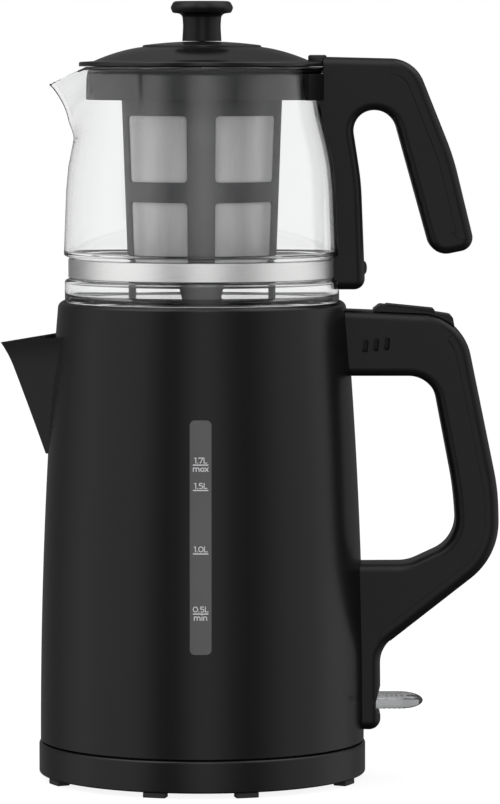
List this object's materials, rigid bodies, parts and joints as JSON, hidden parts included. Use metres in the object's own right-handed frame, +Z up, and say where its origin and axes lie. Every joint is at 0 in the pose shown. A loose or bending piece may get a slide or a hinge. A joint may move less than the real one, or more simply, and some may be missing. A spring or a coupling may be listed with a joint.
{
  "type": "automatic tea maker",
  "caption": "Electric kettle on a round power base with a glass teapot, strainer basket and domed lid stacked on top, for boiling water and brewing tea.",
  "frame": {"origin": "on the axis of the kettle, in the plane that the feet stand on", "axes": "+Z up, +X towards the handles, -X towards the spouts, -Y towards the water gauge in front"},
  "size_m": [0.2368, 0.1572, 0.3693],
  "materials": {
    "black_steel": "satin-gloss black paint",
    "black_plastic": "satin-gloss black plastic",
    "matte_plastic": "matte black plastic",
    "strainer_plastic": "dark grey satin plastic",
    "clear_glass": "clear glass",
    "clear_plastic": "clear plastic",
    "gauge_plastic": "smoked clear plastic",
    "steel": "brushed steel",
    "mesh_steel": "woven steel wire",
    "zinc": "zinc-plated steel",
    "aluminium": "plain aluminium",
    "brass": "plain brass",
    "rubber": "matte black rubber",
    "silicone": "grey silicone",
    "lamp": "clear amber lamp"
  },
  "bodies": {
    "power_base": {"base_housing": "black_plastic", "base_bottom_cover": "matte_plastic", "base_screws": "zinc", "base_feet": "rubber", "base_socket": "matte_plastic", "socket_screws": "zinc", "socket_contacts": "brass", "cord_gland": "rubber"},
    "connector": {"kettle_connector": "matte_plastic"},
    "kettle": {"kettle_shell": "black_steel", "teapot_seat": "matte_plastic", "kettle_bottom_cover": "matte_plastic", "bottom_cover_screws": "zinc", "control_unit": "matte_plastic", "heater_plate": "steel", "heat_spreader": "aluminium", "heater_seal": "silicone", "heating_element": "steel", "gauge_window": "gauge_plastic", "gauge_seal": "silicone", "gauge_case": "matte_plastic", "kettle_spout": "black_steel", "kettle_handle": "black_plastic", "kettle_handle_spine": "black_plastic", "steam_duct": "matte_plastic", "handle_screws": "zinc", "steam_sensor": "matte_plastic", "indicator_lamp": "lamp", "button_bezel": "black_plastic", "button_spring": "steel", "lever_pin": "zinc"},
    "thumb_button": {"thumb_button": "black_plastic"},
    "switch_lever": {"switch_lever": "clear_plastic"},
    "teapot": {"teapot_glass_foot": "clear_glass", "teapot_glass": "clear_glass", "steel_band": "steel", "teapot_handle": "black_plastic", "teapot_handle_spine": "black_plastic", "neck_saddle": "black_plastic", "clamp_nut": "zinc", "clamp_screw": "zinc", "clamp_cap": "black_plastic"},
    "strainer": {"strainer_basket": "strainer_plastic", "strainer_frame": "strainer_plastic", "strainer_mesh": "mesh_steel", "strainer_floor_mesh": "mesh_steel"},
    "lid": {"lid_cover": "black_plastic", "lid_skirt": "matte_plastic", "lid_knob": "black_plastic", "knob_screw": "zinc"}
  },
  "joints": [
    {"name": "kettle_lift", "type": "slide", "parent": "power_base", "child": "connector", "axis": [0, 0, 1], "range_m": [0, 0.06]},
    {"name": "kettle_turn", "type": "hinge", "parent": "connector", "child": "kettle", "pos_m": [0, 0, 0.0276], "axis": [0, 0, 1], "continuous": true},
    {"name": "button_press", "type": "slide", "parent": "kettle", "child": "thumb_button", "axis": [0, 0, -1], "range_m": [0, 0.0022], "stiffness_N_per_m": 400, "springref_m": -0.0015, "deforming": ["button_spring"]},
    {"name": "switch_tilt", "type": "hinge", "parent": "kettle", "child": "switch_lever", "pos_m": [0.081, 0, 0.0368], "axis": [0, 1, 0], "range_deg": [0, 12]},
    {"name": "teapot_lift", "type": "slide", "parent": "kettle", "child": "teapot", "axis": [0, 0, 1], "range_m": [0, 0.06]},
    {"name": "strainer_lift", "type": "slide", "parent": "teapot", "child": "strainer", "axis": [0, 0, 1], "range_m": [0, 0.12]},
    {"name": "lid_lift", "type": "slide", "parent": "strainer", "child": "lid", "axis": [0, 0, 1], "range_m": [0, 0.05]}
  ]
}
